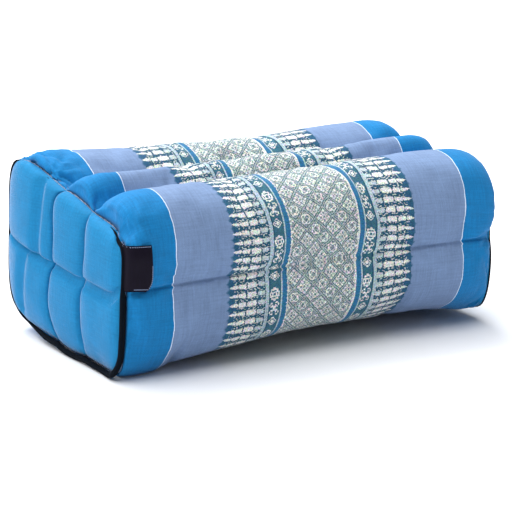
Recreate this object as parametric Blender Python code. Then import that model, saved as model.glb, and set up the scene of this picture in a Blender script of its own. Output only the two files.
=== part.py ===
"""Block cushion of woven cotton: six stuffed channels in a wrap, two quilted end panels, black edging and a label.

+X runs along the channels, +Y to the back and +Z up. The origin is the middle of the footprint, on the floor.
Sizes are in millimetres until a mesh is made. Each outline is worked out from the sizes below:
a channel is a superellipse tube, and towards the ends the tubes shrink to the rounded outline of the end panels.
"""

import bmesh
import bpy
import numpy as np

MILLIMETRE = 0.001

# Wrap: where the end seams lie and how the channels round in to them.
SEAM_X = 167.0
ROUNDING = 33.0
ROUNDING_POWER = 3.4
END_SCALLOP = 0.10
CLOTH_GAP = 0.3

# Channels, across the depth (y) and up the height (z), at their fullest.
FRONT_REACH = 95.0
BACK_REACH = 95.0
CROWN_HEIGHT = 139.0
VALLEY_HEIGHT = 118.0
LOW_VALLEY_HEIGHT = 15.0
MID_SEAM_HEIGHT = 74.0
MID_SEAM_DEPTH = 3.5
LOWER_REACH_LESS = 1.5
UPPER_CENTRE = 94.0
LOWER_CENTRE = 57.0
BASE_SINK = 3.0
CHANNEL_POWER = 2.0

# Unevenness of a hand-stuffed cushion.
TOP_WAIST = 4.5
WAIST_HALF_LENGTH = 150.0
FRONT_LIFT = 17.5
LIFT_CENTRE_X = 40.0
LIFT_HALF_LENGTH = 178.0
LEFT_END_TILT = 5.0
RIGHT_END_RISE = -3.0

# Positions of the two sewn valleys along the length: left end, middle, right end.
VALLEY_STATIONS = (-SEAM_X, 0.0, SEAM_X)
FRONT_VALLEY_Y = (-29.0, -19.0, -15.0)
BACK_VALLEY_Y = (12.0, 24.0, 20.0)

# Rounded outline of the end panels; the left one is narrower at its front and higher at its back.
END_STATIONS = (-SEAM_X, SEAM_X)
PANEL_FRONT = (85.0, 83.0)
PANEL_BACK = (91.0, 88.0)
PANEL_TOP = 123.0
PANEL_TOP_SLOPE = (15.0, 5.0)
PANEL_BOTTOM = (4.0, 8.0)
PANEL_BACK_RISE = (10.0, 3.0)
PANEL_POWER = 3.4

# The front corner of the left end stands further out along x than the rest of that end.
CORNER_OUT = 5.0
CORNER_FROM_Y = -52.0
CORNER_TO_Y = -85.0
CORNER_POWER = 1.6

# Puckers, where the wrap is gathered into the seam: where each lies, how far it reaches and how deep it is.
PUCKERS = (
    {"x": -167.0, "y": -80.0, "z": 112.0, "reach": 10.0, "depth": 7.0},
    {"x": -163.0, "y": 70.0, "z": 130.0, "reach": 8.0, "depth": 4.0},
    {"x": 165.0, "y": -84.0, "z": 72.0, "reach": 8.0, "depth": 3.0},
)

# Extra creases of the left end panel, from one (y, z) to another.
CREASES = (
    {"from": (35.0, 126.0), "to": (37.0, 73.0), "width": 5.0, "depth": 4.0},
    {"from": (55.0, 64.0), "to": (67.0, 20.0), "width": 5.0, "depth": 4.0},
)

# Bends of the left panel's upright seams: how far they shift along y about each (y, z).
BENDS = (
    {"y": -31.0, "z": 92.0, "shift": -5.0, "reach_y": 14.0, "reach_z": 26.0},
    {"y": 10.0, "z": 92.0, "shift": -10.0, "reach_y": 18.0, "reach_z": 28.0},
    {"y": 14.0, "z": 34.0, "shift": 5.0, "reach_y": 18.0, "reach_z": 20.0},
)

# Bulging cells of the end panels.
PANEL_THICKNESS = 2.0
CELL_BULGE = 10.0
CELL_POWER = 2.3
CELL_EDGE = 0.6
MID_CREASE_SHARE = 0.45
MID_CREASE_HALF_WIDTH = 0.30

# Edging, which fills the groove between the wrap's seam and the panel's edge, and label.
EDGING_RADIUS = 1.6
EDGING_SIDES = 6
EDGING_STAND = 0.6
EDGING_OUT = 0.6
PANEL_INSET = 0.0
LABEL_NEAR_X = -166.0
LABEL_FAR_X = -150.0
LABEL_LOW = 73.0
LABEL_HIGH = 108.0
LABEL_THICKNESS = 1.2
LABEL_LIFT = 1.6

# Mesh density.
CORNER_STEPS = 16
MIDDLE_STEPS = 8
END_STEPS = 8
SEAM_CROWDING = 0.6
LENGTH_STEPS = 15

# The six channels in order round the section, seen from the right end: side is -1 front, 0 middle, 1 back.
CHANNELS = (
    {"side": -1, "upper": True},
    {"side": 0, "upper": True},
    {"side": 1, "upper": True},
    {"side": 1, "upper": False},
    {"side": 0, "upper": False},
    {"side": -1, "upper": False},
)


def bump(x, centre, half_length):
    """A parabola: 1 at the centre and 0 from half_length away."""
    return np.clip(1 - ((x - centre) / half_length) ** 2, 0, 1)


def superellipse(angle, right, left, up, down, power):
    """Point at an angle on a superellipse whose four half sizes differ."""
    cosine, sine = np.cos(angle), np.sin(angle)
    across = np.where(cosine > 0, right, left)
    along = np.where(sine > 0, up, down)
    radius = (np.abs(cosine / across) ** power + np.abs(sine / along) ** power) ** (-1 / power)
    return radius * cosine, radius * sine


def half_size_through(offset, rise, height, power):
    """Half size of a superellipse of the given height that passes the point (offset, rise)."""
    share = np.clip(rise / height, 0.01, 0.995)
    return offset / (1 - share**power) ** (1 / power)


def end_share(x):
    """How much of the full channel is left near an end: a quarter superellipse from the seam."""
    inward = np.clip(1 - (SEAM_X - np.abs(x)) / ROUNDING, 0, 1)
    return END_SCALLOP + (1 - END_SCALLOP) * (1 - inward**ROUNDING_POWER) ** (1 / ROUNDING_POWER)


def levels(x, upper, front):
    """Signed heights of one row: its centre, then crown, valley, mid seam and panel edge measured from it."""
    if upper:
        waist = TOP_WAIST * bump(x, 0, WAIST_HALF_LENGTH)
        crown = CROWN_HEIGHT - waist - UPPER_CENTRE
        valley = VALLEY_HEIGHT - waist - UPPER_CENTRE
        return UPPER_CENTRE, crown, valley, UPPER_CENTRE - MID_SEAM_HEIGHT, PANEL_TOP - UPPER_CENTRE
    lift = FRONT_LIFT * bump(x, LIFT_CENTRE_X, LIFT_HALF_LENGTH) if front else 0.0
    crown = LOWER_CENTRE + BASE_SINK - lift
    valley = LOWER_CENTRE - LOW_VALLEY_HEIGHT
    to_panel = LOWER_CENTRE - np.interp(x, END_STATIONS, PANEL_BOTTOM)
    return LOWER_CENTRE, crown, valley, MID_SEAM_HEIGHT - LOWER_CENTRE, to_panel


def tilted(x, y, z):
    """The left end stands a little higher at its back than at its front, and the right end higher all over."""
    left, right = np.clip(-x / SEAM_X, 0, 1), np.clip(x / SEAM_X, 0, 1)
    return z + (z / CROWN_HEIGHT) * (LEFT_END_TILT * left * y / BACK_REACH + RIGHT_END_RISE * right**2)


def channel(x, share, side, upper):
    """Points of one channel at x; share runs 0 to 1 from one sewn line of it to the next."""
    valley_front = np.interp(x, VALLEY_STATIONS, FRONT_VALLEY_Y)
    valley_back = np.interp(x, VALLEY_STATIONS, BACK_VALLEY_Y)
    centre_z, crown, valley, to_seam, to_panel = levels(x, upper, side < 0)
    full = end_share(x)

    def sloped(rise, y):
        """Panel edge height at y: its top slopes up to the back, and so does its bottom behind the middle."""
        reached = np.clip(rise / to_panel, 0, 1) * y / BACK_REACH
        if upper:
            return rise + np.interp(x, END_STATIONS, PANEL_TOP_SLOPE) * reached
        return rise - np.interp(x, END_STATIONS, PANEL_BACK_RISE) * np.maximum(reached, 0)

    if side == 0:
        half = (valley_back - valley_front) / 2
        reach = half_size_through(half, valley, crown, CHANNEL_POWER)
        start = np.arctan2(valley, -half)
        angle = start + (np.pi - 2 * start) * share
        across, rise = superellipse(angle, reach, reach, crown, crown, CHANNEL_POWER)
        y = (valley_front + valley_back) / 2 + across
        edge_rise = sloped(to_panel, y)
        height = edge_rise + full * (rise - edge_rise)
    else:
        inner = side * (valley_front if side < 0 else valley_back)
        outer = (FRONT_REACH if side < 0 else BACK_REACH) - (0 if upper else LOWER_REACH_LESS)
        pinch = MID_SEAM_DEPTH - (0 if upper else LOWER_REACH_LESS)
        centre = (inner + outer) / 2
        reach = outer - centre
        at_seam = reach - pinch
        below = half_size_through(to_seam, at_seam, reach, CHANNEL_POWER)
        inward = half_size_through(centre - inner, valley, crown, CHANNEL_POWER)
        start = np.arctan2(-to_seam, at_seam)
        angle = start + (np.arctan2(valley, inner - centre) - start) * share
        across, rise = superellipse(angle, reach, inward, crown, below, CHANNEL_POWER)
        edge = np.interp(x, END_STATIONS, PANEL_FRONT if side < 0 else PANEL_BACK) - centre
        straight = 1e6
        edge_across, edge_rise = superellipse(angle, edge, straight, to_panel, straight, PANEL_POWER)
        edge_across = np.maximum(edge_across, inner - centre)
        edge_rise = sloped(edge_rise, side * (centre + edge_across))
        y = side * (centre + edge_across + full * (across - edge_across))
        height = edge_rise + full * (rise - edge_rise)
    z = np.maximum(centre_z + (height if upper else -height), 0)
    return np.stack(np.broadcast_arrays(x, y, tilted(x, y, z)), axis=-1)


def shares(steps):
    """Steps from 0 to 1 that lie closer together near the sewn lines."""
    even = np.linspace(0, 1, steps + 1)
    return even - SEAM_CROWDING * np.sin(2 * np.pi * even) / (2 * np.pi)


def puckered(points):
    """Points near each pucker drawn in towards the middle of the section, least at the edge of its reach."""
    for row in PUCKERS:
        away = points - np.array((row["x"], row["y"], row["z"]))
        near = np.exp(-(away**2).sum(axis=-1, keepdims=True) / (2 * row["reach"] ** 2))
        inward = np.array((0, -row["y"], MID_SEAM_HEIGHT - row["z"]))
        points = points + row["depth"] * near * inward / np.linalg.norm(inward)
    return points


def cornered(points):
    """Points of the left end's front corner moved out along x, by a power curve of y that fades to the middle."""
    forward = np.clip((points[..., 1] - CORNER_FROM_Y) / (CORNER_TO_Y - CORNER_FROM_Y), 0, 1) ** CORNER_POWER
    near_end = np.clip((-points[..., 0] - SEAM_X + ROUNDING) / ROUNDING, 0, 1) ** CORNER_POWER
    points = points.copy()
    points[..., 0] -= CORNER_OUT * forward * near_end
    return points


def section(x):
    """Closed outline round the cushion at each x: an array of (x, point, 3)."""
    x = np.asarray(x, float).reshape(-1, 1)
    runs = []
    for row in CHANNELS:
        steps = MIDDLE_STEPS if row["side"] == 0 else CORNER_STEPS
        points = channel(x, shares(steps), row["side"], row["upper"])
        # Front upper, middle lower and back lower channels already run the right way round.
        backwards = (row["side"] > 0) == row["upper"] if row["side"] else not row["upper"]
        points = points[:, ::-1] if backwards else points
        runs.append(points[:, :-1])
    return cornered(puckered(np.concatenate(runs, axis=1)))


def mesh_object(name, vertices, faces, material):
    """A smooth closed mesh object whose faces point outwards."""
    mesh = bpy.data.meshes.new(name)
    mesh.from_pydata((np.asarray(vertices) * MILLIMETRE).tolist(), [], faces)
    shape = bmesh.new()
    shape.from_mesh(mesh)
    bmesh.ops.triangulate(shape, faces=shape.faces)
    bmesh.ops.recalc_face_normals(shape, faces=shape.faces)
    shape.to_mesh(mesh)
    shape.free()
    mesh.materials.append(material)
    mesh.shade_smooth()
    made = bpy.data.objects.new(name, mesh)
    bpy.context.scene.collection.objects.link(made)
    return made


def material(name, colour, roughness):
    made = bpy.data.materials.new(name)
    made.use_nodes = True
    shader = made.node_tree.nodes["Principled BSDF"]
    shader.inputs["Base Color"].default_value = (*colour, 1)
    shader.inputs["Roughness"].default_value = roughness
    shader.inputs["Metallic"].default_value = 0
    return made


def grid_faces(rows, columns, start=0, closed=False):
    """Quads of a rows by columns grid of vertices; closed joins the last column to the first."""
    faces = []
    for i in range(rows - 1):
        for j in range(columns if closed else columns - 1):
            k = (j + 1) % columns
            a, b = start + i * columns, start + (i + 1) * columns
            faces.append((a + j, a + k, b + k, b + j))
    return faces


PANEL_COLUMNS = CORNER_STEPS + MIDDLE_STEPS
PANEL_ROWS = CORNER_STEPS


def panel_grid(loop):
    """Fills a closed section outline with a grid (row, column, 3) by a Coons patch between its four sides."""
    half = CORNER_STEPS // 2
    loop = np.roll(loop, half, axis=0)
    front = loop[: PANEL_ROWS + 1]
    top = loop[PANEL_ROWS : PANEL_ROWS + PANEL_COLUMNS + 1]
    back = loop[PANEL_ROWS + PANEL_COLUMNS : 2 * PANEL_ROWS + PANEL_COLUMNS + 1][::-1]
    bottom = np.concatenate([loop[2 * PANEL_ROWS + PANEL_COLUMNS :], loop[:1]])[::-1]
    v = np.linspace(0, 1, PANEL_ROWS + 1)[:, None, None]
    u = np.linspace(0, 1, PANEL_COLUMNS + 1)[None, :, None]
    corners = (
        (1 - u) * (1 - v) * bottom[0] + u * (1 - v) * bottom[-1] + (1 - u) * v * top[0] + u * v * top[-1]
    )
    return (1 - v) * bottom[None] + v * top[None] + (1 - u) * front[:, None] + u * back[:, None] - corners


def cell_bulge():
    """How far each grid point of an end panel stands out: pillows between its sewn lines."""
    half = CORNER_STEPS // 2
    column = np.arange(PANEL_COLUMNS + 1)
    edges = (0, half, half + MIDDLE_STEPS, PANEL_COLUMNS)
    across = np.interp(column, edges, (0, 1, 2, 3))
    along = np.linspace(-1, 1, PANEL_ROWS + 1)
    local = 2 * (across % 1) - 1
    local[column == PANEL_COLUMNS] = 1
    pillow = np.clip(1 - np.abs(local) ** CELL_POWER, 0, 1) ** CELL_EDGE
    whole = np.clip(1 - np.abs(along) ** (2 * CELL_POWER), 0, 1) ** CELL_EDGE
    crease = 1 - MID_CREASE_SHARE * np.clip(1 - np.abs(along) / MID_CREASE_HALF_WIDTH, 0, 1) ** 2
    return CELL_BULGE * (whole * crease)[:, None] * pillow[None, :]


def band_faces(one, other):
    """Quads between two closed rings of vertex numbers of the same length."""
    rings = (one, np.roll(one, -1), np.roll(other, -1), other)
    return [tuple(int(number) for number in face) for face in zip(*rings)]


def boundary_indices(rows, columns):
    """Vertex numbers round the edge of a rows by columns grid, in the order of the section outline."""
    index = np.arange(rows * columns).reshape(rows, columns)
    ring = [index[:-1, 0], index[-1, :-1], index[:0:-1, -1], index[0, :0:-1]]
    return np.concatenate(ring)


def outline_frame(side):
    """The seam outline of one end and, at each of its points, the direction straight out of it."""
    path = section([side * SEAM_X])[0]
    along = np.roll(path, -1, axis=0) - np.roll(path, 1, axis=0)
    out = np.cross((1.0, 0.0, 0.0), along)
    return path, out / np.linalg.norm(out, axis=1)[:, None]


def creased(grid):
    """Depth of the left panel's extra creases at each grid point, by its distance from each crease's line."""
    depth = np.zeros(grid.shape[:2])
    for row in CREASES:
        start, end = np.array(row["from"]), np.array(row["to"])
        line = end - start
        share = np.clip(((grid[..., 1:] - start) @ line) / (line @ line), 0, 1)
        apart = np.linalg.norm(grid[..., 1:] - start - share[..., None] * line, axis=-1)
        depth = np.maximum(depth, row["depth"] * np.exp(-((apart / row["width"]) ** 2)))
    return depth


def end_surface(side, inward):
    """The end panel's outer surface, moved inward by a distance."""
    path, outward = outline_frame(side)
    grid = panel_grid(path - PANEL_INSET * outward)
    bulge = cell_bulge()
    if side < 0:
        for row in BENDS:
            near_y, near_z = (grid[..., 1] - row["y"]) / row["reach_y"], (grid[..., 2] - row["z"]) / row["reach_z"]
            grid[..., 1] += row["shift"] * np.exp(-(near_y**2) - near_z**2)
        bulge = np.maximum(bulge - creased(grid), 0)
    grid[..., 0] += side * (bulge - inward)
    return grid


def make_cushion(cloth):
    """Wrap and filling: the channel sections, closed at each end by a face just under the end panel."""
    cover = PANEL_THICKNESS + CLOTH_GAP
    turn = np.linspace(0, np.pi / 2, END_STEPS + 1)
    near = SEAM_X - ROUNDING * (1 - np.cos(turn))[::-1]
    length = np.linspace(-(SEAM_X - ROUNDING), SEAM_X - ROUNDING, LENGTH_STEPS)
    stations = np.unique(np.round(np.concatenate([-near, length, near]), 6))
    wrap = section(stations)
    # The seam rings stand back so that the panel and the wrap stay apart.
    wrap[..., 0] *= 1 - cover / SEAM_X
    count = wrap.shape[1]
    vertices = [wrap.reshape(-1, 3)]
    faces = grid_faces(len(stations), count, closed=True)
    used = wrap.shape[0] * count
    ring = boundary_indices(PANEL_ROWS + 1, PANEL_COLUMNS + 1)
    for side, first in ((-1, 0), (1, (len(stations) - 1) * count)):
        cap = end_surface(side, cover).reshape(-1, 3)
        vertices.append(cap)
        faces += grid_faces(PANEL_ROWS + 1, PANEL_COLUMNS + 1, start=used)
        seam = first + (np.arange(count) - CORNER_STEPS // 2) % count
        faces += band_faces(seam, ring + used)
        used += len(cap)
    return mesh_object("cushion", np.concatenate(vertices), faces, cloth)


def make_end_panel(name, side, cloth):
    """A quilted sheet: its outer surface, the same surface a thickness further in, and a rim between them."""
    rows, columns = PANEL_ROWS + 1, PANEL_COLUMNS + 1
    outer = end_surface(side, 0).reshape(-1, 3)
    inner = end_surface(side, PANEL_THICKNESS).reshape(-1, 3)
    faces = grid_faces(rows, columns) + [face[::-1] for face in grid_faces(rows, columns, start=len(outer))]
    ring = boundary_indices(rows, columns)
    faces += band_faces(ring, ring + len(outer))
    return mesh_object(name, np.concatenate([outer, inner]), faces, cloth)


def make_edging(name, side, cloth):
    """A thin closed tube that lies in the seam, just outside the panel's edge."""
    path, outward = outline_frame(side)
    middle = path + outward * (EDGING_RADIUS + EDGING_STAND)
    middle[:, 0] += side * EDGING_OUT
    middle[:, 2] = np.maximum(middle[:, 2], EDGING_RADIUS)
    angle = np.linspace(0, 2 * np.pi, EDGING_SIDES, endpoint=False)
    ring = outward[:, None] * np.cos(angle)[None, :, None] + np.array((1.0, 0, 0)) * np.sin(angle)[None, :, None]
    points = middle[:, None] + EDGING_RADIUS * ring
    faces = grid_faces(len(points), EDGING_SIDES, closed=True)
    last = (len(points) - 1) * EDGING_SIDES
    for j in range(EDGING_SIDES):
        k = (j + 1) % EDGING_SIDES
        faces.append((last + j, last + k, k, j))
    return mesh_object(name, points.reshape(-1, 3), faces, cloth)


def make_label(cloth):
    """A folded tab on the front of the left end, held by the seam and standing a little off the wrap."""
    across, up = 8, 8
    x = np.linspace(LABEL_NEAR_X, LABEL_FAR_X, across + 1)
    share = np.linspace(0, 1, 200)
    rows = []
    for station in x:
        front = cornered(channel(np.array(station), share, -1, True))
        z = np.linspace(LABEL_LOW, LABEL_HIGH, up + 1)
        rows.append(np.stack([np.interp(z, front[:, 2], front[:, 0]), np.interp(z, front[:, 2], front[:, 1]), z], -1))
    stand = 0.6 + LABEL_LIFT * np.linspace(0, 1, across + 1)[:, None] ** 2
    inner = np.stack(rows)
    inner[..., 1] -= stand
    outer = inner - (0.0, LABEL_THICKNESS, 0.0)
    vertices = np.concatenate([outer.reshape(-1, 3), inner.reshape(-1, 3)])
    rows, columns = across + 1, up + 1
    faces = grid_faces(rows, columns) + [face[::-1] for face in grid_faces(rows, columns, start=rows * columns)]
    ring = boundary_indices(rows, columns)
    faces += band_faces(ring, ring + rows * columns)
    return mesh_object("label", vertices, faces, cloth)


def main():
    for old in list(bpy.data.objects):
        bpy.data.objects.remove(old)
    wrap_cloth = material("woven_cotton_wrap", (0.18, 0.30, 0.55), 0.85)
    plain_cloth = material("plain_blue_cotton", (0.02, 0.27, 0.60), 0.8)
    black_cloth = material("black_cotton_edging", (0.004, 0.006, 0.012), 0.8)
    label_cloth = material("dark_satin_label", (0.006, 0.004, 0.014), 0.5)
    make_cushion(wrap_cloth)
    for name, side in (("left", -1), ("right", 1)):
        make_end_panel("end_panel_" + name, side, plain_cloth)
        make_edging("piping_" + name, side, black_cloth)
    make_label(label_cloth)


main()
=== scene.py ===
"""Block cushion: a patterned wrap stuffed in channels, quilted plain ends, dark edging and a folded ribbon label.

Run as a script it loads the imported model, makes a dressed piece for each part of it, and a pale studio stage.
Shapes are worked out in millimetres as whole numpy arrays and written to meshes in metres.
"""

import math
from functools import partial
from types import SimpleNamespace

import bpy
import numpy as np
from bpy.props import FloatProperty, FloatVectorProperty, PointerProperty
from mathutils import Matrix, Vector


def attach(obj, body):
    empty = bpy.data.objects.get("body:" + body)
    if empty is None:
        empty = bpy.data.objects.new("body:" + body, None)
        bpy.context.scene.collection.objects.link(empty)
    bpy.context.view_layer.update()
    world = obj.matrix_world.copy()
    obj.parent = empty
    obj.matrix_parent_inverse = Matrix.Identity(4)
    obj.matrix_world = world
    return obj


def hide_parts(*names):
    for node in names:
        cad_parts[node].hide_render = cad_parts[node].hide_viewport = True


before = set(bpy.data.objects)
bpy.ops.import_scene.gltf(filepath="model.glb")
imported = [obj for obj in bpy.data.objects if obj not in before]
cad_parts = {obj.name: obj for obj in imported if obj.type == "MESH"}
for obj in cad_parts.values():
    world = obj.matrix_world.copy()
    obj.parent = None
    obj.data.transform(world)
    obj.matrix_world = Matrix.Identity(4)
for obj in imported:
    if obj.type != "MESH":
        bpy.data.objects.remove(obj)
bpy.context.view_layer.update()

bl_info = {
    "name": "Block Cushion",
    "version": (1, 0, 0),
    "blender": (4, 5, 0),
    "location": "View3D > Sidebar > Block Cushion",
    "description": "Builds a stuffed block cushion with a woven wrap, quilted ends and edging",
    "category": "Object",
}

MILLIMETRE = 0.001


# ---------------------------------------------------------------- properties


def linear(code):
    """sRGB hex code to a linear colour with alpha 1."""
    parts = [int(code[i : i + 2], 16) / 255 for i in (1, 3, 5)]
    return tuple(p / 12.92 if p <= 0.04045 else ((p + 0.055) / 1.055) ** 2.4 for p in parts) + (1.0,)


def length(name, millimetres, description):
    """A size, kept in metres."""
    return FloatProperty(
        name=name, description=description, default=millimetres * MILLIMETRE, unit="LENGTH", precision=4
    )


def share(name, value, description):
    """A plain number, such as a share or a power."""
    return FloatProperty(name=name, description=description, default=value)


def colour(name, code, description):
    """A colour from its sRGB hex code."""
    return FloatVectorProperty(
        name=name, description=description, default=linear(code), size=4, min=0, max=1, subtype="COLOR"
    )


class WrapSizes(bpy.types.PropertyGroup):
    """Sizes of the stuffed wrap."""

    seam_x: length("End seam", 167, "Distance of each end seam from the middle")
    rounding: length("Rounding", 33, "Length over which the channels round in to the end seams")
    rounding_power: share("Rounding power", 3.4, "Squareness of that rounding")
    end_scallop: share("Scallop", 0.10, "Share of the channels' shape left at the seam")
    front_reach: length("Front reach", 95, "Fullest depth to the front")
    back_reach: length("Back reach", 95, "Fullest depth to the back")
    crown: length("Crown", 139, "Height of the channels' crowns")
    valley: length("Valley", 118, "Height of the sewn lines on top")
    low_valley: length("Low valley", 15, "Height of the sewn lines underneath")
    mid_seam: length("Mid seam", 74, "Height of the crease on the front and back")
    mid_depth: length("Mid seam depth", 3.5, "How far that crease draws in")
    lower_less: length("Lower reach less", 1.5, "How much less the lower channels reach")
    upper_centre: length("Upper centre", 94, "Height of the upper channels' centres")
    lower_centre: length("Lower centre", 57, "Height of the lower channels' centres")
    base_sink: length("Base sink", 3, "How far the lower crowns are pressed flat")
    top_waist: length("Waist", 4.5, "How much lower the crowns are midway")
    waist_half: length("Waist half length", 150, "Half the length of that waist")
    front_lift: length("Front lift", 17.5, "How far the front lower edge lifts off the floor")
    lift_x: length("Lift centre", 40, "Where it lifts the most")
    lift_half: length("Lift half length", 178, "Half the length of that lift")
    left_tilt: length("Left tilt", 5, "How much higher the left end stands at its back")
    right_rise: length("Right rise", -3, "How much higher the right end stands")
    corner_out: length("Corner out", 5, "How far the left end's front corner stands out along x")
    corner_from: length("Corner from", -52, "Depth at which that corner begins")
    corner_to: length("Corner to", -85, "Depth at which it is fully out")
    corner_power: share("Corner power", 1.6, "Softness of that corner")
    panel_power: share("End outline power", 3.4, "Squareness of the end panels' outline")
    groove: length("Stitch groove", 1.5, "Depth of the narrow groove along each sewn line")
    lump: length("Lumps", 1.0, "Height of the soft unevenness of the filling")
    gather: length("Gathers", 0.9, "Height of the small gathers at the seams")


class TrimSizes(bpy.types.PropertyGroup):
    """Sizes of the end panels, the edging and the label."""

    panel_thickness: length("Panel thickness", 2, "Thickness of the end panels")
    cloth_gap: length("Gap", 0.3, "Gap between the wrap and a panel")
    bulge: length("Cell bulge", 10, "How far the quilted cells stand out")
    edging_radius: length("Edging radius", 2.3, "Half the thickness of the edging where it shows")
    edging_thin: length("Edging thin", 0.5, "Half its thickness where it sinks into the seam")
    edging_stand: length("Edging stand", 0.5, "How far the edging stands clear of the seam")
    edging_out: length("Edging out", 0.6, "How far the edging's middle lies beyond the seam")
    label_near: length("Label start", -168.2, "Where the label leaves the seam")
    label_far: length("Label fold", -153, "Where the label's ribbon folds back")
    label_low: length("Label bottom", 72.5, "Height of the label's lower edge")
    label_high: length("Label top", 106, "Height of the label's upper edge")


class ClothColours(bpy.types.PropertyGroup):
    """Colours of the cloths."""

    blue: colour("Bright blue", "#0B75B1", "Plain cotton of the wrap's ends")
    panel_blue: colour("Panel blue", "#1079AD", "Plain cotton of the end panels")
    slub: colour("Grey-blue", "#728AAF", "Plain bands beside the brocade")
    stripe: colour("Stripe", "#DDEBFA", "Thin stripe between the two")
    cream: colour("Cream", "#DDDFDB", "Cream yarn of the brocade")
    navy: colour("Navy", "#1E5068", "Dark yarn of the dashed bands")
    indigo: colour("Indigo", "#265878", "Dark blocks at the ends of the dashed bands")
    teal: colour("Teal", "#35667A", "Dark yarn of the borders")
    line: colour("Line", "#A8BCC4", "Thin pale lines along the borders")
    strip: colour("Strip", "#2B6E97", "Blue lines beside the middle field")
    lattice: colour("Lattice", "#2E5F6C", "Dark yarn of the lattice")
    edging: colour("Edging", "#020913", "Edging tape")
    label: colour("Label", "#0B0516", "Ribbon of the label")
    thread: colour("Thread", "#7E8CAA", "Sewing thread on the label")


# ---------------------------------------------------------------- tables


def table(names, *rows):
    """Rows of values as one dict each, under the given names."""
    return [dict(zip(names.split(), row)) for row in rows]


# Where the sewn lines on top and underneath lie, at three places along the wrap.
VALLEYS = table("x front back", (-167, -29, 12), (0, -19, 24), (167, -15, 20))
# The outlines of the two ends: how far they reach, how high they stand and how much they slope up to the back.
ENDS = table(
    "x front back top top_slope bottom back_rise",
    (-167, 85, 91, 123, 15, 4, 10),
    (167, 83, 88, 123, 5, 8, 3),
)
# The six channels, in order from the front lower sewn line up the front and over the top.
# A channel is worked out from its lower or front line, and some run the other way round the wrap.
CHANNELS = table(
    "side upper backwards",
    (-1, False, True),
    (-1, True, False),
    (0, True, False),
    (1, True, True),
    (1, False, False),
    (0, False, True),
)
# Points of the end seams that are drawn in.
PUCKERS = table(
    "x y z reach depth",
    (-167, -79, 114, 5, 9),
    (-163, 70, 130, 8, 4),
    (165, -84, 72, 8, 3),
)
# Fans of small folds that run out from one point of a seam: their reach, their height and how many there are.
FANS = table(
    "x y z reach height folds",
    (-167, -82, 112, 15, 2.4, 11),
    (-167, 66, 132, 22, 4.2, 12),
    (-167, 38, 124, 16, 3.6, 10),
    (-167, -29, 118, 12, 1.8, 7),
    (-167, 12, 120, 12, 1.8, 7),
    (-167, -86, 71, 9, 0.9, 7),
    (167, -80, 71, 10, 1.3, 7),
    (167, 20, 120, 12, 1.8, 7),
    (167, -15, 120, 12, 1.8, 7),
    (167, -76, 16, 10, 1.3, 7),
)
# Bends of the left panel's upright seams: how far they shift along y about each (y, z).
BENDS = table(
    "y z shift reach_y reach_z",
    (-31, 92, -5, 14, 26),
    (10, 92, -10, 18, 28),
    (14, 34, 5, 18, 20),
)
# Extra creases of the left panel, each from one (y, z) to another.
CREASES = table("start end width depth", ((35, 126), (37, 73), 5, 4), ((55, 64), (67, 20), 5, 4))
# Lumps of the filling: their size along and round the wrap, their share of the full height,
# the distance from an end seam at which they reach it, and the seed of their noise.
LUMPS = table("along round share fade seed", (55, 45, 1.0, 30, 11), (21, 26, 0.35, 20, 12))


# ---------------------------------------------------------------- numbers and noise


def in_millimetres(group):
    """The group's values as plain numbers, lengths in millimetres."""
    values = {}
    for name, item in group.bl_rna.properties.items():
        if item.type == "FLOAT" and not item.is_array:
            values[name] = getattr(group, name) * (1000 if item.unit == "LENGTH" else 1)
    return SimpleNamespace(**values)


def along_table(rows, x, column):
    """The table's column at x, on straight lines between its rows."""
    return np.interp(x, [row["x"] for row in rows], [row[column] for row in rows])


def ramp(value, start, end):
    """0 at the start, 1 at the end, and a straight line between."""
    return np.clip((value - start) / (end - start), 0, 1)


def bell(distance, reach):
    """A bell curve: 1 at no distance, falling as the exponential of the square of distance over reach."""
    return np.exp(-((distance / reach) ** 2))


def rooted(distance, from_line, reach):
    """A fade with distance from a line: an exponential over the reach, times the rise of another off the line."""
    return np.exp(-distance / reach) * (1 - np.exp(-distance / from_line))


def unit(vectors):
    """The vectors over their own lengths."""
    return vectors / np.maximum(np.linalg.norm(vectors, axis=-1, keepdims=True), 1e-9)


def distance_along(points):
    """Distance from the first of a line of points to each of them."""
    return np.concatenate([[0], np.cumsum(np.linalg.norm(np.diff(points, axis=0), axis=1))])


def unevenness(u, v, size_u, size_v, seed):
    """Smooth noise from -1 to 1: random values on a grid of the given cell size, eased between its points."""
    count, offset = 256, 500
    a, b = u / size_u + offset, v / size_v + offset
    i, j = np.floor(a).astype(int), np.floor(b).astype(int)
    fa, fb = a - i, b - j
    fa, fb = fa * fa * (3 - 2 * fa), fb * fb * (3 - 2 * fb)
    values = np.random.default_rng(seed).uniform(-1, 1, (count, count))

    def at(p, q):
        return values[p % count, q % count]

    low = at(i, j) * (1 - fa) + at(i + 1, j) * fa
    high = at(i, j + 1) * (1 - fa) + at(i + 1, j + 1) * fa
    return low * (1 - fb) + high * fb


def gathered(wave):
    """Cloth drawn into folds: broad lumps with narrow valleys wherever the wave crosses nought."""
    return 2 * np.abs(wave) ** 0.6 - 1


def hump(x, centre, half):
    """A parabola: 1 at the centre and 0 from half away."""
    return np.clip(1 - ((x - centre) / half) ** 2, 0, 1)


# ---------------------------------------------------------------- the wrap's shape


def superellipse(angle, right, left, up, down, power):
    """Point at an angle on a superellipse whose four half sizes differ."""
    cosine, sine = np.cos(angle), np.sin(angle)
    across = np.where(cosine > 0, right, left)
    rise = np.where(sine > 0, up, down)
    radius = (np.abs(cosine / across) ** power + np.abs(sine / rise) ** power) ** (-1 / power)
    return radius * cosine, radius * sine


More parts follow.
